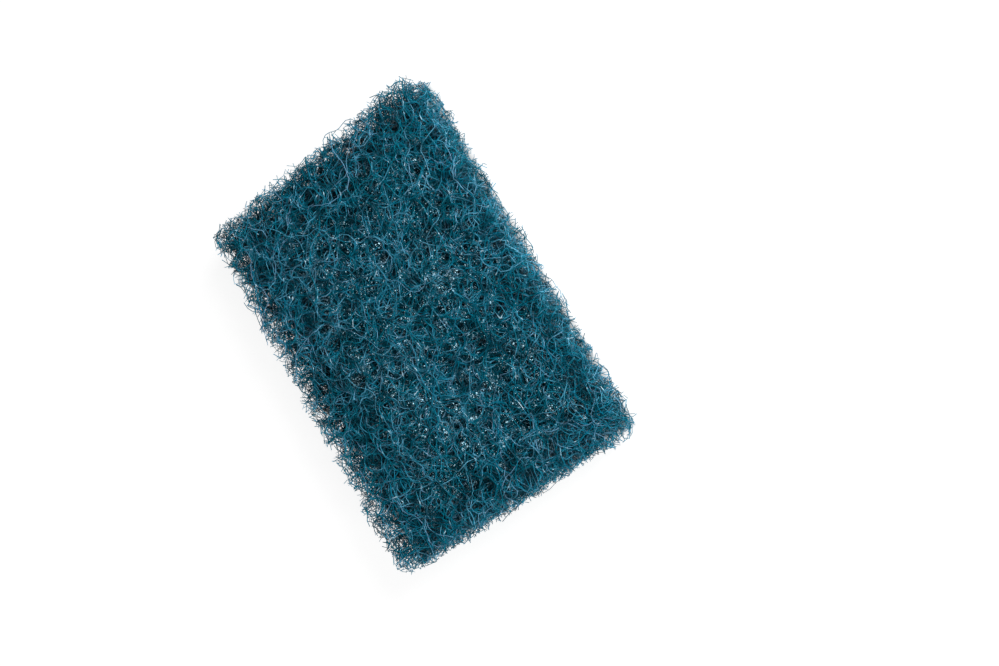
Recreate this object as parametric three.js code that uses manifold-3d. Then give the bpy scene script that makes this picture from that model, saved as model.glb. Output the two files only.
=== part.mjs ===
// A pot scrubber pad: one open, springy web of crimped nylon strands, laid in crossing layers,
// bonded where they cross and die-cut to a rectangle. Millimetres, +Z up, length along X and
// width along Y. The origin is the middle of the face that the pad lies on.
import * as THREE from "three";
import { mergeVertices } from "three/addons/utils/BufferGeometryUtils.js";
import Module from "manifold-3d";

// Driving dimensions
const PAD_LENGTH = 127; // 5 in
const PAD_WIDTH = 89; // 3 1/2 in
const PAD_THICKNESS = 15;
const CORNER_RADIUS = 5; // of the die-cut outline, seen from above

// Strands, each one a bundle of the fine fibres
const STRAND_DIAMETER = 4.8; // over the corners of the section
const STRAND_GAP = 0.4; // clear space between neighbours in a layer, at the least
const BOND_DEPTH = 1.9; // how far crossing strands run into each other, at the least
const ROUND_SIDES = 4; // a corner up and a corner down
const FLAT_SIDES = 3; // a corner up and a flat down, for the face that the pad lies on

// Crimp, the snaking of a strand to both sides of its run
const CRIMP_PITCH = 27; // along the run, for one full swing
const CRIMP_SWAY = 5.2; // from the run to the top of a bend
const CRIMP_CURL = 1; // how far a bend bulges past a plain wave
const CRIMP_VARIATION = 0.2; // share by which some strands have less pitch and sway
const CRIMP_STEPS = 6; // straight stretches in one full swing

// Slower waves of the run itself
const RUN_DRIFT = 0.8; // to each side
const SWINGS_PER_DRIFT = 3.3;
const WEB_SEED = 7;

// Nylon
const NYLON = { color: 0x1c5a70, roughness: 0.62, metalness: 0 };

const FULL_TURN = Math.PI * 2;
const CORNER_STEPS = 4; // straight stretches in one round corner of the die
const MERGE_DISTANCE = 1e-4; // corners closer than this are one

const wasm = await Module();
wasm.setup();

// A closed geometry as a solid that can be joined and cut.
function solidOf(geometry) {
  const bare = geometry.clone();
  bare.deleteAttribute("normal");
  bare.deleteAttribute("uv");
  const merged = mergeVertices(bare, MERGE_DISTANCE);
  const mesh = new wasm.Mesh({
    numProp: 3,
    vertProperties: merged.attributes.position.array,
    triVerts: new Uint32Array(merged.index.array),
  });
  return new wasm.Manifold(mesh);
}

// A number for each corner of a mesh, the same for all the corners of one closed skin.
function skinNumbers(triangles, cornerCount) {
  const numbers = Uint32Array.from({ length: cornerCount }, (_, i) => i);
  let settled = false;
  while (!settled) {
    settled = true;
    for (let first = 0; first < triangles.length; first += 3) {
      const corners = triangles.subarray(first, first + 3);
      const least = Math.min(...corners.map((corner) => numbers[corner]));
      for (const corner of corners) {
        settled = settled && numbers[corner] === least;
        numbers[corner] = least;
      }
    }
  }
  return numbers;
}

// A solid as a geometry with flat faces. It keeps the skin that its first corner in X is on, so
// the small pockets that crossing strands seal between them are filled.
function geometryOf(solid) {
  const mesh = solid.getMesh();
  const positions = new THREE.BufferAttribute(mesh.vertProperties, 3);
  const numbers = skinNumbers(mesh.triVerts, positions.count);
  const corners = Array.from(numbers.keys());
  const first = corners.reduce((a, b) => (positions.getX(b) < positions.getX(a) ? b : a));
  const kept = mesh.triVerts.filter((_, i) => {
    return numbers[mesh.triVerts[i]] === numbers[first];
  });
  const geometry = new THREE.BufferGeometry();
  geometry.setAttribute("position", positions);
  geometry.setIndex(new THREE.BufferAttribute(kept, 1));
  const faceted = geometry.toNonIndexed();
  faceted.computeVertexNormals();
  return faceted;
}

// The block that the die cuts out of the web.
function dieBlock() {
  const x = PAD_LENGTH / 2;
  const y = PAD_WIDTH / 2;
  const r = CORNER_RADIUS;
  const outline = new THREE.Shape();
  outline.moveTo(-x + r, -y);
  outline.absarc(x - r, -y + r, r, -Math.PI / 2, 0);
  outline.absarc(x - r, y - r, r, 0, Math.PI / 2);
  outline.absarc(-x + r, y - r, r, Math.PI / 2, Math.PI);
  outline.absarc(-x + r, -y + r, r, Math.PI, Math.PI * 1.5);
  return new THREE.ExtrudeGeometry(outline, {
    depth: PAD_THICKNESS,
    bevelEnabled: false,
    curveSegments: CORNER_STEPS,
  });
}

// The middle line of a strand that snakes along its run and past both ends of a span.
class CrimpedLine extends THREE.Curve {
  constructor(span, random) {
    super();
    const differ = () => 1 - CRIMP_VARIATION * random();
    this.pitch = CRIMP_PITCH * differ();
    this.sway = CRIMP_SWAY * differ();
    this.swings = span / this.pitch + 1;
    this.phase = random() * FULL_TURN;
    this.driftPhase = random() * FULL_TURN;
    this.steps = Math.ceil(this.swings * CRIMP_STEPS);
  }

  // Moves the line to its place in the pad, lengthwise or crosswise.
  place(offset, height, lengthwise) {
    this.offset = offset;
    this.height = height;
    this.lengthwise = lengthwise;
  }

  getPoint(t, target = new THREE.Vector3()) {
    const turn = (t - 0.5) * this.swings * FULL_TURN;
    const swing = turn + this.phase;
    const along = (turn / FULL_TURN) * this.pitch - CRIMP_CURL * Math.sin(2 * swing);
    const drift = RUN_DRIFT * Math.sin(swing / SWINGS_PER_DRIFT + this.driftPhase);
    const across = this.offset + drift + this.sway * Math.sin(swing);
    if (this.lengthwise) return target.set(along, across, this.height);
    return target.set(across, along, this.height);
  }
}

// A regular section with one corner at the top.
function strandSection(sides) {
  const corners = Array.from({ length: sides }, (_, i) => {
    const angle = (i / sides) * FULL_TURN;
    return new THREE.Vector2(-Math.cos(angle), Math.sin(angle)).multiplyScalar(STRAND_DIAMETER / 2);
  });
  return new THREE.Shape(corners);
}

function strand(line, sides) {
  return new THREE.ExtrudeGeometry(strandSection(sides), {
    extrudePath: line,
    steps: line.steps,
  });
}

// One layer of strands, which run from edge to edge of the pad in lanes side by side. A
// staggered layer has its lanes over the gaps of the last layer that runs the same way.
function strandLayer(height, lengthwise, staggered, sides, random) {
  const span = lengthwise ? PAD_LENGTH : PAD_WIDTH;
  const across = lengthwise ? PAD_WIDTH : PAD_LENGTH;
  const lane = STRAND_DIAMETER + 2 * (CRIMP_SWAY + RUN_DRIFT);
  const lanes = Math.floor((across + STRAND_GAP) / (lane + STRAND_GAP));
  const spacing = (across - lane) / (lanes - 1);
  const count = staggered ? lanes - 1 : lanes;
  return Array.from({ length: count }, (_, i) => {
    const line = new CrimpedLine(span, random);
    line.place((i - (count - 1) / 2) * spacing, height, lengthwise);
    return strand(line, sides);
  });
}

// Every layer's strands, bonded into one web and die-cut to size. Layers lie one pitch apart
// from the lowest up, and the last lies in the upper face. Each strand spans the pad, so it
// crosses, and bonds with, all the strands of the layers above and below it.
function scrubberWeb() {
  let draw = WEB_SEED;
  const random = () => THREE.MathUtils.seededRandom(draw++);
  const radius = STRAND_DIAMETER / 2;
  const lowest = radius * Math.cos(Math.PI / FLAT_SIDES);
  const highest = PAD_THICKNESS - radius;
  const pitch = STRAND_DIAMETER - BOND_DEPTH;
  const gaps = Math.ceil((highest - lowest) / pitch);
  const die = solidOf(dieBlock());
  let web = null;
  for (let i = 0; i <= gaps; i++) {
    const height = Math.min(lowest + i * pitch, highest);
    const lengthwise = i % 2 === 0;
    const staggered = Math.floor(i / 2) % 2 === 1;
    const sides = i === 0 ? FLAT_SIDES : ROUND_SIDES;
    for (const geometry of strandLayer(height, lengthwise, staggered, sides, random)) {
      const cut = solidOf(geometry).intersect(die);
      web = web ? web.add(cut) : cut;
    }
  }
  return web;
}

const pad = new THREE.Mesh(geometryOf(scrubberWeb()), new THREE.MeshStandardMaterial(NYLON));
pad.name = "scrubber_pad";

const scrubber = new THREE.Group();
scrubber.name = "pot_scrubber";
scrubber.add(pad);

export default scrubber;
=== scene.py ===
"""A nylon pot scrubber: a lofty web of crimped, resin-bonded fibres, die-cut to a flat pad.

The web is laid as real ones are, in plies of loose fibres one over the other. Metres, +Z up.
"""
import math

import bpy
from bpy.props import FloatProperty, FloatVectorProperty, IntProperty, PointerProperty
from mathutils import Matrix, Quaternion, Vector


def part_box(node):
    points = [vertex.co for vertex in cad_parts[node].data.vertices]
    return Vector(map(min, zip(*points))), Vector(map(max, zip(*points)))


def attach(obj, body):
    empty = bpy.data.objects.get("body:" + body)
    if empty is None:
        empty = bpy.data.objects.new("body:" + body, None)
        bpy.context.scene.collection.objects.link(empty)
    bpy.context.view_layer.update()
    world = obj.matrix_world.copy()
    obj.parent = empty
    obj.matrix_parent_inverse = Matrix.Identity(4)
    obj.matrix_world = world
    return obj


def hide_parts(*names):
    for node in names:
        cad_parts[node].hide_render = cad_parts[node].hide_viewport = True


bl_info = {
    "name": "Pot Scrubber Web",
    "version": (1, 0, 0),
    "blender": (4, 5, 0),
    "location": "View3D > Sidebar > Scrubber",
    "description": "Lays a die-cut web of crimped nylon fibres in the place of a plain pad",
    "category": "Add Mesh",
}

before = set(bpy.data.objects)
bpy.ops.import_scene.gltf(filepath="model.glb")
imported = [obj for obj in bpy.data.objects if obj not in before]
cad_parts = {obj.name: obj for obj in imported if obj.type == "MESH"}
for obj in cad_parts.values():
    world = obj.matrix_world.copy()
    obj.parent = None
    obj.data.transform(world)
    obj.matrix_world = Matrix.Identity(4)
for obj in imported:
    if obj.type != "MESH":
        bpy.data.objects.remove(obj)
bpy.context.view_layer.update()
PAD_LOW, PAD_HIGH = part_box("scrubber_pad")
PAD_SIZE = PAD_HIGH - PAD_LOW

MILLIMETRE = 0.001
FULL_TURN = 2 * math.pi

# Each fibre's own crimp, in shares of the crimp that the sizes give
LEAST_PITCH = 0.75
MOST_PITCH = 1.5
LEAST_TURN = 0.2
MOST_TURN = 1.2
LEAST_LOFT = 0.4
MOST_LOFT = 1.15

# How fibres run
SEEDS_PER_PLY = 100
RISES_PER_SWING = 1.27  # out of step with the crimp, so that no fibre is a plain spring
BENDS_PER_SWING = 0.45
NOISE_PER_FIBRE = 7.31  # how far one fibre's bends lie from the next one's, along the same noise
FLATTER_FROM = 0.7  # height from the pad's middle to its face, where the face is 1
FACE_LOFT = 0.35  # share of the loft that is left at the faces
LEAST_ROOM = 0.8  # share of the thickness that is left to the fibres which turn back first
FOLD = 0.96  # how sharply fibres turn back at the pad's faces, from 0 to 1

# Pores, the open places that fibres keep out of, large ones with small ones between them
PORE_GRID = (1, 1, 0.75)  # pores in one pore size, along X, Y and Z
PORE_FADE = 7  # how fast the push fades, away from a pore's middle
WEAKEST_PORE = 0.2  # share of the pore push
STRONGEST_PORE = 1.8
LEAST_GIVE = 0.4  # share of the push that the stiffest fibres give way to
SMALL_PORE_SIZE = 0.6  # share of the large ones' size
SMALL_PORE_PUSH = 0.5  # share of the large ones' push

# The die-cut sides
STRAY_SHARE = 0.004  # of the fibres
DIPS_PER_METRE = 160  # of the ragged outline
DIP_DEPTH = 3 * MILLIMETRE
HELD_POINTS = 3  # points inside the outline, with fewer of which a bit of fibre falls out

# A fibre is a tube with few sides, drawn larger to look as wide as a round one
TUBE_SIDES = 3
SECTION_SCALE = math.pi / (TUBE_SIDES * math.sin(math.pi / TUBE_SIDES))
LEAST_GIRTH = 0.75  # share of the diameter that the thinnest fibres have
MOST_GIRTH = 1.2
RESIN_SWELL = 0.15  # share by which the most resin widens a fibre
WIDEST = SECTION_SCALE * MOST_GIRTH * (1 + RESIN_SWELL)
SHADE_WIDTH = 0.004  # of one face on the shade map

# Resin, which goes from 0 on a bare fibre to a full coat, and from there to 1 in a full drop. A
# fibre with less coat is drawn darker with painted shade, and drops are drawn paler and as beads,
# partly as painted glints
FULL_COAT = 0.5
DROPS_AND_GLINTS_PER_METRE = 700
DROP_AND_GLINT_FROM = 0.48  # noise from which a drop gathers, drawn paler as resin and partly as a painted glint
DROP_AND_GLINT_FULL = 0.72
PATCHES_PER_METRE = 260  # of the uneven coat, and so of uneven painted shade
PATCH_DEPTH = 4  # from the thinnest patch to the deepest, in coat depths

# Nylon. A fibre draws its tint from 0 to 1, and each shade has its place there
SHADE_PLACES = {"deep": 0, "green": 0.28, "plain": 0.52, "blue": 0.74, "pale": 0.90, "lilac": 1}
PAINTED_DEPTH_SHADE = 0.4  # painted shade: brightness of a fibre deep in the pad, with no coat
# Drops are drawn paler, partly as pale resin and partly as a painted glint
DROP_PALENESS_AND_GLINT = 0.6
GLINT_BEAD_FROM = 0.65  # share of a full drop, from which it is a clear bead, drawn near white as a painted glint
GLINT_BEAD_FULL = 0.85
NYLON_SPECULAR = 0.14
NYLON_ROUGHNESS = 0.3
DROP_SMOOTHNESS = 0.15  # how much less rough a full drop is
BUMPS_PER_METRE = 1800
BUMP_HEIGHT = 0.05 * MILLIMETRE
BUMP_STRENGTH = 0.4

# The floor, on which places are distances out from the pad's edges, and less than 0 under it
FLOOR_SIZE = 6
FLOOR_COLOUR = (0.85, 0.85, 0.85, 1)
FLOOR_GLOW = 1.3
NEAR_GLOW = 0.65  # share of the glow near the pad, where the rest of the floor takes its shadow
NEAR_TO = 0.1  # from here to the next place, the glow grows to its full share
FAR_FROM = 0.4
PAINTED_THROUGH_COLOUR = (0.75, 1.28, 1.52, 1)  # painted light, of the light that would come through the web, glowing on the floor beneath the pad
PAINTED_THROUGH_TO = -22 * MILLIMETRE
# Beneath the pad's edges the painted light fades into a painted shadow, before the floor turns white
PAINTED_SHADOW_FROM = -8 * MILLIMETRE
PAINTED_SHADOW_LIGHT = 0.1  # painted shadow: share of that painted light beneath the pad's edges
PAINTED_SHADOW_TO = -3.5 * MILLIMETRE
WHITE_FROM = -0.5 * MILLIMETRE
BLACK = (0, 0, 0, 1)
WHITE = (1, 1, 1, 1)

# The camera looks down on the pad as the photograph does, whose size is given in pixels
PHOTO_WIDTH = 999
FOCAL_LENGTH = 1500  # in the photograph's pixels
CAMERA_AZIMUTH = math.radians(-24.2)
CAMERA_ELEVATION = math.radians(64.0)
CAMERA_ROLL = math.radians(98.8)  # of the picture's top, towards the right
CAMERA_DISTANCE = 0.4455
CAMERA_AIM = Vector((-0.0187, -0.0271, 0.0150))
NEAREST_SEEN = 10 * MILLIMETRE

# Lamps, each towards the camera and by these shares up and to the right in its picture.
# Distance and size are in metres, and power is in watts
LAMPS = {
    "key_softbox": {"up": 0.8, "right": 0.4, "distance": 0.45, "size": 0.25, "power": 2.28},
    "fill_softbox": {"up": -0.9, "right": 0.6, "distance": 0.9, "size": 0.5, "power": 4.55},
}
ROOM_LIGHT = 0.16  # on the pad, from all round


class WebSizes(bpy.types.PropertyGroup):
    """Sizes of the fibre web."""

    plies: IntProperty(
        name="Plies",
        description="Layers of loose fibres, one over the other",
        default=6,
        min=1,
    )
    fibres: IntProperty(
        name="Fibres",
        description="Fibres in one ply, with those that the die cuts away",
        default=2220,
        min=1,
    )
    fibre_length: FloatProperty(
        name="Fibre length",
        description="Length of one crimped fibre, pulled straight",
        default=50 * MILLIMETRE,
        unit="LENGTH",
    )
    fibre_diameter: FloatProperty(
        name="Fibre diameter",
        description="Diameter of a fibre of common girth, without resin",
        default=0.18 * MILLIMETRE,
        unit="LENGTH",
    )
    steps: IntProperty(
        name="Steps",
        description="Points along one fibre",
        default=27,
        min=2,
    )
    crimp_pitch: FloatProperty(
        name="Crimp pitch",
        description="Length of fibre in one full swing of the crimp",
        default=12.5 * MILLIMETRE,
        unit="LENGTH",
    )
    crimp_turn: FloatProperty(
        name="Crimp turn",
        description="How far a fibre turns to each side in a swing",
        default=math.radians(45),
        subtype="ANGLE",
    )
    loft: FloatProperty(
        name="Loft",
        description="How steeply a fibre climbs and falls through the pad",
        default=math.radians(75),
        subtype="ANGLE",
    )
    wander: FloatProperty(
        name="Wander",
        description="How far the run of a fibre bends away from a straight line",
        default=math.radians(90),
        subtype="ANGLE",
    )
    pore_size: FloatProperty(
        name="Pore size",
        description="Distance from one large open place in the web to the next",
        default=5.5 * MILLIMETRE,
        unit="LENGTH",
    )
    pore_push: FloatProperty(
        name="Pore push",
        description="How strongly fibres keep out of the open places",
        default=2.3,
        min=0,
    )
    corner_radius: FloatProperty(
        name="Corner radius",
        description="Radius of the die's corners",
        default=5 * MILLIMETRE,
        unit="LENGTH",
    )
    fuzz: FloatProperty(
        name="Fuzz",
        description="How far fibres end to either side of the die's outline",
        default=1.2 * MILLIMETRE,
        unit="LENGTH",
    )
    stray: FloatProperty(
        name="Stray",
        description="How far the longest stray ends stand out of the die-cut sides",
        default=2.5 * MILLIMETRE,
        unit="LENGTH",
    )
    # Painted shade darkens fibres deeper than this under the faces and cut sides, where the coat
    # thins
    coat_depth: FloatProperty(
        name="Coat and shade depth",
        description="How deep the coat of resin goes into the pad, from its faces and its cut sides",
        default=3.5 * MILLIMETRE,
        unit="LENGTH",
    )


class WebColours(bpy.types.PropertyGroup):
    """Colours of the nylon."""

    deep: FloatVectorProperty(
        name="Deep teal",
        description="Colour of the darkest fibres",
        default=(0.000, 0.100, 0.155),
        size=3,
        subtype="COLOR",
        min=0,
        max=1,
    )
    green: FloatVectorProperty(
        name="Green teal",
        description="Colour of the fibres that took the dye greenest",
        default=(0.000, 0.185, 0.265),
        size=3,
        subtype="COLOR",
        min=0,
        max=1,
    )
    plain: FloatVectorProperty(
        name="Teal",
        description="Colour of most fibres",
        default=(0.000, 0.195, 0.300),
        size=3,
        subtype="COLOR",
        min=0,
        max=1,
    )
    blue: FloatVectorProperty(
        name="Blue teal",
        description="Colour of the fibres that took the dye bluest",
        default=(0.000, 0.200, 0.330),
        size=3,
        subtype="COLOR",
        min=0,
        max=1,
    )
    pale: FloatVectorProperty(
        name="Pale teal",
        description="Colour of the palest fibres, and of drops of resin",
        default=(0.120, 0.440, 0.630),
        size=3,
        subtype="COLOR",
        min=0,
        max=1,
    )
    # A painted glint: a bead is drawn near white, as light shining off clear resin
    glint_bead: FloatVectorProperty(
        name="Glint bead",
        description="Colour of a bead of clear resin",
        default=(0.580, 0.860, 1.000),
        size=3,
        subtype="COLOR",
        min=0,
        max=1,
    )
    lilac: FloatVectorProperty(
        name="Grey lilac",
        description="Colour of a few odd fibres",
        default=(0.170, 0.350, 0.540),
        size=3,
        subtype="COLOR",
        min=0,
        max=1,
    )


class Wire:
    """An output of a node tree, which sums can be written with. One with no socket starts a tree."""

    def __init__(self, tree, socket=None):
        self.tree = tree
        self.socket = socket

    def node(self, kind, settings=None, inputs=None, out=0):
        """A new node of the tree, as a wire from one of its outputs."""
        node = self.tree.nodes.new(kind)
        for name, value in (settings or {}).items():
            if name == "stops":
                set_stops(node.color_ramp, value)
            else:
                setattr(node, name, value)
        for name, value in (inputs or {}).items():
            socket = shown_socket(node.inputs, name)
            if isinstance(value, Wire):
                self.tree.links.new(value.socket, socket)
            else:
                socket.default_value = value
        return Wire(self.tree, shown_socket(node.outputs, out))

    def beside(self, out):
        """Another output of the same node."""
        return Wire(self.tree, shown_socket(self.socket.node.outputs, out))

    def is_vector(self):
        return self.socket.type in {"VECTOR", "RGBA"}

    def maths(self, operation, *values):
        """A Math node on numbers, or a Vector Math node where the wire is a vector or a colour."""
        kind = "ShaderNodeVectorMath" if self.is_vector() else "ShaderNodeMath"
        values = dict(enumerate((self, *values)))
        return self.node(kind, {"operation": operation}, values)

    def __add__(self, other):
        return self.maths("ADD", other)

    __radd__ = __add__

    def __sub__(self, other):
        return self.maths("SUBTRACT", other)

    def __rsub__(self, other):
        return self * -1 + other

    def __mul__(self, other):
        if not self.is_vector():
            return self.maths("MULTIPLY", other)
        scaled = {"Vector": self, "Scale": other}
        return self.node("ShaderNodeVectorMath", {"operation": "SCALE"}, scaled)

    __rmul__ = __mul__

    def __truediv__(self, other):
        return self.maths("DIVIDE", other)

    def __gt__(self, other):
        return self.maths("GREATER_THAN", other)

    def __lt__(self, other):
        return self.maths("LESS_THAN", other)


def shown_socket(sockets, key):
    """The socket of that name or number among those that the node's settings leave in use."""
    shown = [s for s in sockets if s.enabled]
    if isinstance(key, int):
        return shown[key]
    return next(s for s in shown if s.name == key)


def set_stops(ramp, stops):
    """Gives a colour ramp these (place, colour) stops."""
    while len(ramp.elements) < len(stops):
        ramp.elements.new(0.5)
    for element, (place, colour) in zip(ramp.elements, stops):
        element.position = place
        element.color = (*colour, 1)


def vector_of(x, y, z):
    """Three numbers as a vector, at least one of them a wire."""
    wire = next(w for w in (x, y, z) if isinstance(w, Wire))
    return wire.node("ShaderNodeCombineXYZ", None, {"X": x, "Y": y, "Z": z})


def part_of(vector, axis):
    return vector.node("ShaderNodeSeparateXYZ", None, {"Vector": vector}, axis)


def ranged(value, low, high, first=0.0, last=1.0, curve="LINEAR"):
    """A number that goes from first to last, and no further, as a value goes from low to high."""
    inputs = {"Value": value, "From Min": low, "From Max": high, "To Min": first, "To Max": last}
    return value.node("ShaderNodeMapRange", {"interpolation_type": curve}, inputs)


def noise_at(place, per_metre, detail):
    """Noise from 0 to 1, with that many rises and dips in a metre."""
    inputs = {"Vector": place, "Scale": per_metre, "Detail": detail}
    return place.node("ShaderNodeTexNoise", None, inputs)


def mixed(share, first, second):
    """The first of two colours, with a share of the second in its place."""
    inputs = {"Factor": share, "A": first, "B": second}
    return share.node("ShaderNodeMix", {"data_type": "RGBA"}, inputs)


# The ply's inputs. Those that the operator doesn't work out have the names of the web's sizes
PLY_INPUTS = {
    "Pad Size": "NodeSocketVector",
    "Corner Radius": "NodeSocketFloat",
    "Lowest": "NodeSocketFloat",
    "Highest": "NodeSocketFloat",
    "Fibres": "NodeSocketInt",
    "Fibre Length": "NodeSocketFloat",
    "Fibre Diameter": "NodeSocketFloat",
    "Steps": "NodeSocketInt",
    "Crimp Pitch": "NodeSocketFloat",
    "Crimp Turn": "NodeSocketFloat",
    "Loft": "NodeSocketFloat",
    "Wander": "NodeSocketFloat",
    "Pore Size": "NodeSocketFloat",
    "Pore Push": "NodeSocketFloat",
    "Fuzz": "NodeSocketFloat",
    "Stray": "NodeSocketFloat",
    "Coat Depth": "NodeSocketFloat",
    "Seed": "NodeSocketInt",
    "Nylon": "NodeSocketMaterial",
}


class FibrePly:
    """Builds the node tree that lays one ply of fibres."""

    def __init__(self):
        self.tree = bpy.data.node_groups.new("crimped_fibre_ply", "GeometryNodeTree")
        for name, kind in PLY_INPUTS.items():
            self.tree.interface.new_socket(name, in_out="INPUT", socket_type=kind)
        self.tree.interface.new_socket(
            "Ply", in_out="OUTPUT", socket_type="NodeSocketGeometry"
        )
        group_input = self.tree.nodes.new("NodeGroupInput")
        self.given = {s.name: Wire(self.tree, s) for s in group_input.outputs if s.name}
        self.start = Wire(self.tree)
        self.draws = 0
        fibres = self.laid_fibres()
        fibres = self.die_cut(fibres)
        tubes = self.tubes(fibres)
        tubes = self.shade_mapped(tubes)
        group_output = self.tree.nodes.new("NodeGroupOutput")
        self.tree.links.new(self.finished(tubes).socket, group_output.inputs[0])

    def drawn(self, low, high, each, kind="FLOAT"):
        """A number drawn at random for each fibre or point, from low to high."""
        self.draws += 1
        inputs = {"Min": low, "Max": high, "Seed": self.given["Seed"] + self.draws}
        if each is not None:
            inputs["ID"] = each
        return self.start.node("FunctionNodeRandomValue", {"data_type": kind}, inputs)

    def kept(self, geometry, name, value, kind="FLOAT", domain="POINT"):
        """The geometry with a named value kept on it."""
        settings = {"data_type": kind, "domain": domain}
        inputs = {"Geometry": geometry, "Name": name, "Value": value}
        return self.start.node("GeometryNodeStoreNamedAttribute", settings, inputs)

    def read(self, name):
        """A value that was kept under that name."""
        settings = {"data_type": "FLOAT"}
        return self.start.node("GeometryNodeInputNamedAttribute", settings, {"Name": name})

    def place(self):
        return self.start.node("GeometryNodeInputPosition")

    def fibre(self):
        """The number of the fibre that a point is on."""
        return self.start.node("GeometryNodeCurveOfPoint", out="Curve Index")

    def summed(self, value, kind, out):
        """A value added up along each fibre."""
        inputs = {"Value": value, "Group ID": self.fibre()}
        settings = {"data_type": kind}
        return self.start.node("GeometryNodeAccumulateField", settings, inputs, out)

    def strewn_lines(self):
        """Straight lines along X, as many as there are fibres, strewn over and around the pad."""
        given = self.given
        half = given["Pad Size"] * 0.5
        spread_x = part_of(half, "X") + given["Fibre Length"] * 0.5
        spread_y = part_of(half, "Y") + given["Fibre Length"] * 0.5
        low = vector_of(spread_x * -1, spread_y * -1, given["Lowest"])
        high = vector_of(spread_x, spread_y, given["Highest"])
        places = self.drawn(low, high, None, "FLOAT_VECTOR")
        points = self.start.node(
            "GeometryNodePoints", None, {"Count": given["Fibres"], "Position": places}
        )
        end = vector_of(given["Fibre Length"], 0.0, 0.0)
        line = self.start.node("GeometryNodeCurvePrimitiveLine", None, {"End": end})
        line = self.start.node(
            "GeometryNodeResampleCurve", None, {"Curve": line, "Count": given["Steps"]}
        )
        strewn = self.start.node(
            "GeometryNodeInstanceOnPoints", None, {"Points": points, "Instance": line}
        )
        return self.start.node("GeometryNodeRealizeInstances", None, {"Geometry": strewn})

    def heading(self, along):
        """The way that a fibre runs, at a length along it: crimped, wandering and lofty."""
        given = self.given
        fibre = self.fibre()
        pitch = given["Crimp Pitch"] * self.drawn(LEAST_PITCH, MOST_PITCH, fibre)
        swing = along * FULL_TURN / pitch
        crimp = (swing + self.drawn(0, FULL_TURN, fibre)).maths("SINE")
        rise = (swing * RISES_PER_SWING + self.drawn(0, FULL_TURN, fibre)).maths("SINE")
        far = swing / FULL_TURN + fibre * NOISE_PER_FIBRE
        bend = self.start.node(
            "ShaderNodeTexNoise",
            {"noise_dimensions": "1D"},
            {"W": far, "Scale": BENDS_PER_SWING, "Detail": 0.0},
        )
        turn = given["Crimp Turn"] * self.drawn(LEAST_TURN, MOST_TURN, fibre) * crimp
        turn = turn + (bend - 0.5) * 2 * given["Wander"] + self.drawn(0, FULL_TURN, fibre)
        # Fibres that were strewn near a face lie flatter
        middle = part_of(given["Pad Size"], "Z") * 0.5
        height = (part_of(self.place(), "Z") - middle).maths("ABSOLUTE") / middle
        lofty = ranged(height, FLATTER_FROM, 1.0, 1.0, FACE_LOFT)
        climb = given["Loft"] * rise * lofty * self.drawn(LEAST_LOFT, MOST_LOFT, fibre)
        level = climb.maths("COSINE")
        return vector_of(
            turn.maths("COSINE") * level, turn.maths("SINE") * level, climb.maths("SINE")
        )

    def laid_fibres(self):
        """The lines, each bent into a crimped fibre whose middle stays where the line was strewn.

        Each fibre keeps its tint, its girth and its reach past the die's outline.
        """
        given = self.given
        lines = self.strewn_lines()
        along = self.start.node("GeometryNodeSplineParameter", out="Length")
        step = given["Fibre Length"] / (given["Steps"] - 1)
        walked = self.summed(self.heading(along) * step, "FLOAT_VECTOR", "Trailing")
        middle = self.place() - vector_of(along, 0.0, 0.0)
        run = middle + walked - walked.beside("Total") * 0.5
        run = self.opened(run, given["Pore Size"], given["Pore Push"])
        small_size = given["Pore Size"] * SMALL_PORE_SIZE
        small_push = given["Pore Push"] * SMALL_PORE_PUSH
        run = self.opened(run, small_size, small_push)
        run = self.pressed(run)
        lines = self.start.node(
            "GeometryNodeSetPosition", None, {"Geometry": lines, "Position": run}
        )
        fibre = self.fibre()
        lines = self.kept(lines, "tint", self.drawn(0, 1, fibre))
        lines = self.kept(lines, "girth", self.drawn(LEAST_GIRTH, MOST_GIRTH, fibre))
        strays = self.drawn(0, 1, fibre) - (1 - STRAY_SHARE)
        strays = strays.maths("MAXIMUM", 0.0) / STRAY_SHARE
        fuzz = self.drawn(given["Fuzz"] * -1, given["Fuzz"], fibre)
        lines = self.kept(lines, "reach", strays * given["Stray"] + fuzz)
        ragged = noise_at(self.place(), DIPS_PER_METRE, 0.0)
        reach = self.read("reach") + (ragged - 0.5) * DIP_DEPTH
        return self.kept(lines, "reach", reach)

    def opened(self, run, size, push):
        """A place pushed away from the middle of a pore, by some pores more than by others."""
        place = run.maths("MULTIPLY", PORE_GRID) / size
        inputs = {"Vector": place, "Scale": 1.0}
        pore = self.start.node("ShaderNodeTexVoronoi", None, inputs, "Position")
        distance = pore.beside("Distance")
        near = (distance * distance * -PORE_FADE).maths("EXPONENT")
        strength = part_of(pore.beside("Color"), "X")
        strength = WEAKEST_PORE + strength * strength * (STRONGEST_PORE - WEAKEST_PORE)
        push = push * self.drawn(LEAST_GIVE, 1, self.fibre()) * near * strength
        return run + (place - pore) * (push * size)

    def pressed(self, run):
        """A place folded softly into the pad's thickness, so that fibres lie along its faces."""
        given = self.given
        thickness = part_of(given["Pad Size"], "Z")
        middle = thickness * 0.5
        room = middle - given["Fibre Diameter"] * (WIDEST / 2)
        room = room * self.drawn(LEAST_ROOM, 1, self.fibre())
        height = ((part_of(run, "Z") - middle) / room * (FULL_TURN / 4)).maths("SINE")
        # A plain fold has sharp turns, and its sine has round ones but crowds the faces
        height = (height * FOLD).maths("ARCSINE") / math.asin(FOLD)
        return vector_of(part_of(run, "X"), part_of(run, "Y"), middle + height * room)

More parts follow.
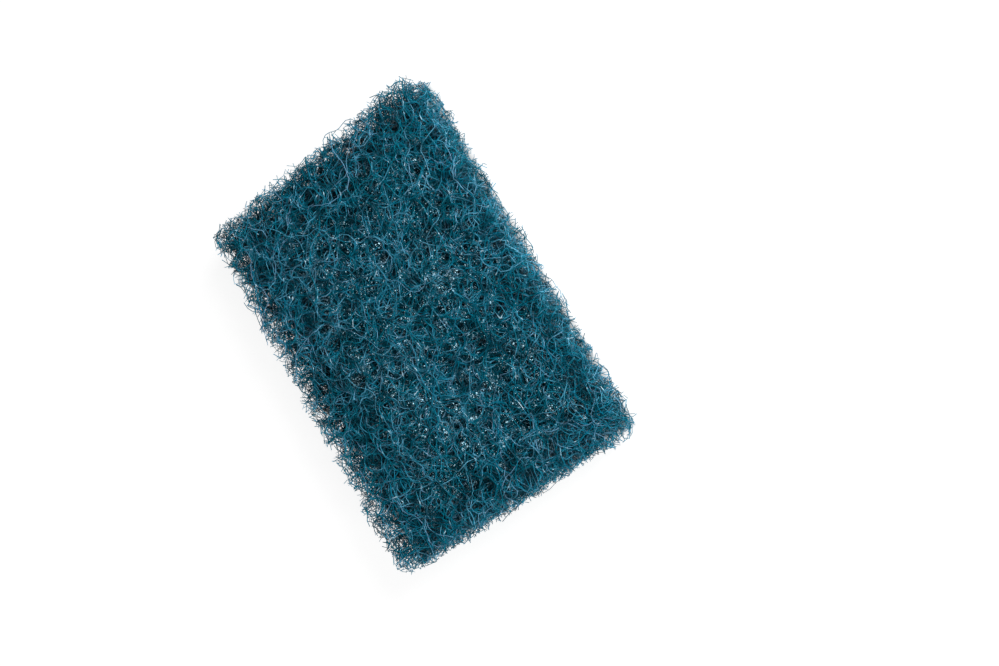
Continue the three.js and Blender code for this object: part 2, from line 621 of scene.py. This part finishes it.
    def die_cut(self, fibres):
        """The fibres, cut off where they leave the die's outline, apart from a few stray ends."""
        given = self.given
        radius = given["Corner Radius"]
        edges = self.start.node("GeometryNodeCurveToMesh", None, {"Curve": fibres})
        place = self.place()
        half = given["Pad Size"] * 0.5
        over_x = part_of(place.maths("ABSOLUTE"), "X") - part_of(half, "X") + radius
        over_y = part_of(place.maths("ABSOLUTE"), "Y") - part_of(half, "Y") + radius
        over = vector_of(over_x.maths("MAXIMUM", 0.0), over_y.maths("MAXIMUM", 0.0), 0.0)
        length = over.node("ShaderNodeVectorMath", {"operation": "LENGTH"}, {0: over}, "Value")
        outside = length - radius > self.read("reach")
        edges = self.start.node(
            "GeometryNodeDeleteGeometry",
            {"domain": "EDGE"},
            {"Geometry": edges, "Selection": outside},
        )
        # An end that is still past its reach is drawn back to it
        share = ((radius + self.read("reach")) / length).maths("MINIMUM", 1.0)
        back = (over * (share - 1)).maths("MULTIPLY", place.maths("SIGN"))
        edges = self.start.node(
            "GeometryNodeSetPosition", None, {"Geometry": edges, "Offset": back}
        )
        fibres = self.start.node("GeometryNodeMeshToCurve", None, {"Mesh": edges})
        # Short bits that nothing would hold fall out
        loose = self.summed(length < radius, "FLOAT", "Total") < HELD_POINTS
        return self.start.node(
            "GeometryNodeDeleteGeometry", None, {"Geometry": fibres, "Selection": loose}
        )

    def tubes(self, fibres):
        """The fibres as closed tubes with resin on them, most of it near the pad's outside. How much
        resin a fibre has also sets the painted shade that darkens fibres deep in the pad, and the
        painted glints on its beads.
        """
        given = self.given
        drops_and_glints = ranged(noise_at(self.place(), DROPS_AND_GLINTS_PER_METRE, 1.0), DROP_AND_GLINT_FROM, DROP_AND_GLINT_FULL)
        middle = vector_of(0.0, 0.0, part_of(given["Pad Size"], "Z") * 0.5)
        inward = given["Pad Size"] * 0.5 - (self.place() - middle).maths("ABSOLUTE")
        depth = part_of(inward, "X").maths("MINIMUM", part_of(inward, "Y"))
        depth = depth.maths("MINIMUM", part_of(inward, "Z"))
        patches = noise_at(self.place(), PATCHES_PER_METRE, 1.0)
        depth = depth + (0.5 - patches) * (PATCH_DEPTH * given["Coat Depth"])
        # Painted shade: fibres deeper than the coat depth get less coat, and nylon draws them darker
        coat_and_depth_shade = ranged(depth, given["Coat Depth"], 0.0, curve="SMOOTHSTEP")
        # The resin value carries the coat, which also sets the painted shade, and the drops, which
        # also carry painted glints
        fibres = self.kept(fibres, "resin", coat_and_depth_shade * (1 + drops_and_glints) * FULL_COAT)
        radius = given["Fibre Diameter"] * (SECTION_SCALE / 2) * self.read("girth")
        radius = radius * (1 + self.read("resin") * RESIN_SWELL)
        section = self.start.node(
            "GeometryNodeCurvePrimitiveCircle", None, {"Resolution": TUBE_SIDES, "Radius": 1.0}
        )
        inputs = {"Curve": fibres, "Profile Curve": section, "Scale": radius, "Fill Caps": True}
        tubes = self.start.node("GeometryNodeCurveToMesh", None, inputs)
        return self.start.node("GeometryNodeSetShadeSmooth", None, {"Geometry": tubes})

    def shade_mapped(self, tubes):
        """The tubes with a map that has tint along U and resin along V.

        Faces of one shade share a place there, and each has a little width for its own.
        """
        index = self.start.node("GeometryNodeInputIndex")
        settings = {"data_type": "INT", "domain": "POINT"}
        corner = self.start.node("GeometryNodeFieldOnDomain", settings, {"Value": index})
        side = corner.maths("MODULO", TUBE_SIDES)
        ring = (corner / TUBE_SIDES).maths("FLOOR").maths("MODULO", 2)
        room = 1 - 2 * SHADE_WIDTH
        u = self.read("tint") * room + side * (SHADE_WIDTH / 2)
        v = self.read("resin") * room + (ring + side * (2 - side) / 2) * SHADE_WIDTH
        return self.kept(tubes, "OFBake", vector_of(u, v, 0.0), "FLOAT2", "CORNER")

    def finished(self, tubes):
        """The tubes as plain geometry in nylon, with only the values that nylon reads."""
        for name in ("girth", "reach"):
            tubes = self.start.node(
                "GeometryNodeRemoveAttribute", None, {"Geometry": tubes, "Name": name}
            )
        tubes = self.start.node("GeometryNodeRealizeInstances", None, {"Geometry": tubes})
        inputs = {"Geometry": tubes, "Material": self.given["Nylon"]}
        return self.start.node("GeometryNodeSetMaterial", None, inputs)


def nylon(colours):
    """Teal nylon: each fibre its own shade, darkened with painted shade deep in the pad, paler and
    smoother where resin has gathered, and with painted glints on its clear beads.
    """
    material = bpy.data.materials.new("teal_nylon")
    material.use_nodes = True
    tree = material.node_tree
    shader = tree.nodes["Principled BSDF"]
    shader.inputs["Specular IOR Level"].default_value = NYLON_SPECULAR
    start = Wire(tree)
    tint = start.node("ShaderNodeAttribute", {"attribute_name": "tint"}, None, "Fac")
    resin = start.node("ShaderNodeAttribute", {"attribute_name": "resin"}, None, "Fac")
    coat_and_depth_shade = (resin / FULL_COAT).maths("MINIMUM", 1.0)
    drop_and_glint = (resin / FULL_COAT - 1).maths("MAXIMUM", 0.0)
    stops = [(place, getattr(colours, name)) for name, place in SHADE_PLACES.items()]
    shade = start.node("ShaderNodeValToRGB", {"stops": stops}, {"Fac": tint}, "Color")
    # Painted shade: fibres deep in the pad, with less coat, are drawn darker
    shade = shade * (PAINTED_DEPTH_SHADE + coat_and_depth_shade * (1 - PAINTED_DEPTH_SHADE))
    # Drops are drawn paler, partly as pale resin and partly as a painted glint
    shade = mixed(drop_and_glint * DROP_PALENESS_AND_GLINT, shade, (*colours.pale, 1))
    # Painted glint: the fullest drops are drawn as near-white beads
    shade = mixed(ranged(drop_and_glint, GLINT_BEAD_FROM, GLINT_BEAD_FULL), shade, (*colours.glint_bead, 1))
    tree.links.new(shade.socket, shader.inputs["Base Color"])
    roughness = NYLON_ROUGHNESS - drop_and_glint * DROP_SMOOTHNESS
    tree.links.new(roughness.socket, shader.inputs["Roughness"])
    place = start.node("ShaderNodeTexCoord", None, None, "Object")
    bumps = noise_at(place, BUMPS_PER_METRE, 1.0)
    inputs = {"Strength": BUMP_STRENGTH, "Distance": BUMP_HEIGHT, "Height": bumps}
    uneven = start.node("ShaderNodeBump", None, inputs)
    tree.links.new(uneven.socket, shader.inputs["Normal"])
    return material


def made_plain(piece):
    """Makes a piece's finished shape its own mesh, and takes its modifiers off."""
    depsgraph = bpy.context.evaluated_depsgraph_get()
    shown = piece.evaluated_get(depsgraph)
    mesh = bpy.data.meshes.new_from_object(
        shown, preserve_all_data_layers=True, depsgraph=depsgraph
    )
    piece.modifiers.clear()
    piece.data = mesh
    mesh.name = piece.name


class LayFibrePlies(bpy.types.Operator):
    """Lays the plies of crimped fibres that make the pad."""

    bl_idname = "mesh.scrubber_lay_plies"
    bl_label = "Lay Fibre Plies"

    def execute(self, context):
        sizes = context.scene.scrubber_sizes
        tree = FibrePly().tree
        sockets = {s.name: s.identifier for s in tree.interface.items_tree if s.in_out == "INPUT"}
        material = nylon(context.scene.scrubber_colours)
        ply_height = PAD_SIZE.z / sizes.plies
        for number in range(sizes.plies):
            name = f"fibre_ply_{number + 1}"
            ply = bpy.data.objects.new(name, bpy.data.meshes.new(name))
            context.collection.objects.link(ply)
            modifier = ply.modifiers.new("Crimped fibres", "NODES")
            modifier.node_group = tree
            worked_out = {
                "Pad Size": PAD_SIZE,
                "Lowest": number * ply_height,
                "Highest": (number + 1) * ply_height,
                "Seed": SEEDS_PER_PLY * (number + 1),
                "Nylon": material,
            }
            for title, identifier in sockets.items():
                if title in worked_out:
                    modifier[identifier] = worked_out[title]
                else:
                    modifier[identifier] = getattr(sizes, title.lower().replace(" ", "_"))
            made_plain(ply)
            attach(ply, "root")
            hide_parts("scrubber_pad")
        return {"FINISHED"}


def aimed(thing, back, distance, roll=0.0):
    """Puts a lamp or camera at a distance from the aim, along back, and turns it to face the aim."""
    turn = (-back).to_track_quat("-Z", "Y") @ Quaternion((0, 0, 1), -roll)
    thing.rotation_mode = "QUATERNION"
    thing.rotation_quaternion = turn
    thing.location = CAMERA_AIM + back.normalized() * distance
    bpy.context.scene.collection.objects.link(thing)
    return turn


def pale_floor():
    """A floor that is white to the camera, and still shows the pad's shadow, with painted light
    glowing beneath the pad and a painted shadow beneath its edges.
    """
    material = bpy.data.materials.new("pale_floor")
    material.use_nodes = True
    tree = material.node_tree
    tree.nodes.remove(tree.nodes["Principled BSDF"])
    start = Wire(tree)
    path = start.node("ShaderNodeLightPath", None, None, "Is Camera Ray")
    seen = path.maths("MAXIMUM", path.beside("Is Glossy Ray"))
    seen = seen.maths("MAXIMUM", path.beside("Is Transmission Ray"))
    place = start.node("ShaderNodeTexCoord", None, None, "Object")
    over = place.maths("ABSOLUTE").maths("SUBTRACT", PAD_SIZE / 2)
    out = part_of(over, "X").maths("MAXIMUM", part_of(over, "Y"))
    # Painted light: the floor glows in the web's colour beneath the open web, and a painted shadow
    # darkens it beneath the pad's edges
    through = ranged(out, PAINTED_THROUGH_TO, PAINTED_SHADOW_FROM, 1.0, PAINTED_SHADOW_LIGHT)
    painted_glow_under = mixed(through, BLACK, PAINTED_THROUGH_COLOUR)
    colour = mixed(ranged(out, PAINTED_SHADOW_TO, WHITE_FROM), painted_glow_under, WHITE)
    glow = start.node("ShaderNodeEmission", None, {"Color": colour, "Strength": FLOOR_GLOW})
    lit = start.node("ShaderNodeBsdfDiffuse", None, {"Color": FLOOR_COLOUR})
    share = seen * ranged(out, NEAR_TO, FAR_FROM, NEAR_GLOW, 1.0)
    surface = start.node("ShaderNodeMixShader", None, {0: share, 1: lit, 2: glow})
    tree.links.new(surface.socket, tree.nodes["Material Output"].inputs["Surface"])
    return material


def white_room():
    """A world that is white to the camera, and lights the pad a little from all round."""
    world = bpy.data.worlds.new("white_room")
    world.use_nodes = True
    tree = world.node_tree
    background = tree.nodes["Background"]
    background.inputs["Color"].default_value = WHITE
    path = Wire(tree).node("ShaderNodeLightPath", None, None, "Is Camera Ray")
    strength = ROOM_LIGHT + path * (1 - ROOM_LIGHT)
    tree.links.new(strength.socket, background.inputs["Strength"])
    return world


class SetStage(bpy.types.Operator):
    """Sets a pale floor, soft lamps and the camera."""

    bl_idname = "scene.scrubber_set_stage"
    bl_label = "Set Stage"

    def execute(self, context):
        scene = context.scene
        scene.view_settings.view_transform = "Standard"
        scene.world = white_room()
        bpy.ops.mesh.primitive_plane_add(size=FLOOR_SIZE)
        floor = context.object
        floor.name = "floor"
        floor.data.materials.append(pale_floor())

        data = bpy.data.cameras.new("photo_camera")
        data.lens = data.sensor_width * FOCAL_LENGTH / PHOTO_WIDTH
        data.clip_start = NEAREST_SEEN
        camera = bpy.data.objects.new("photo_camera", data)
        level = math.cos(CAMERA_ELEVATION)
        back = Vector((
            math.sin(CAMERA_AZIMUTH) * level,
            -math.cos(CAMERA_AZIMUTH) * level,
            math.sin(CAMERA_ELEVATION),
        ))
        turn = aimed(camera, back, CAMERA_DISTANCE, CAMERA_ROLL)
        scene.camera = camera

        up = turn @ Vector((0, 1, 0))
        right = turn @ Vector((1, 0, 0))
        for name, lamp in LAMPS.items():
            data = bpy.data.lights.new(name, "AREA")
            data.size = lamp["size"]
            data.energy = lamp["power"]
            place = back + up * lamp["up"] + right * lamp["right"]
            aimed(bpy.data.objects.new(name, data), place, lamp["distance"])
        return {"FINISHED"}


class ScrubberPanel(bpy.types.Panel):
    """Lists the sizes, the colours and the steps that make the scrubber."""

    bl_idname = "VIEW3D_PT_scrubber"
    bl_label = "Pot Scrubber"
    bl_space_type = "VIEW_3D"
    bl_region_type = "UI"
    bl_category = "Scrubber"

    def draw(self, context):
        for name in WebSizes.__annotations__:
            self.layout.prop(context.scene.scrubber_sizes, name)
        for name in WebColours.__annotations__:
            self.layout.prop(context.scene.scrubber_colours, name)
        self.layout.operator(LayFibrePlies.bl_idname)
        self.layout.operator(SetStage.bl_idname)


CLASSES = (WebSizes, WebColours, LayFibrePlies, SetStage, ScrubberPanel)


def register():
    for cls in CLASSES:
        bpy.utils.register_class(cls)
    bpy.types.Scene.scrubber_sizes = PointerProperty(type=WebSizes)
    bpy.types.Scene.scrubber_colours = PointerProperty(type=WebColours)


def unregister():
    del bpy.types.Scene.scrubber_colours
    del bpy.types.Scene.scrubber_sizes
    for cls in reversed(CLASSES):
        bpy.utils.unregister_class(cls)


def main():
    register()
    bpy.ops.mesh.scrubber_lay_plies()
    bpy.ops.scene.scrubber_set_stage()


if __name__ == "__main__":
    main()
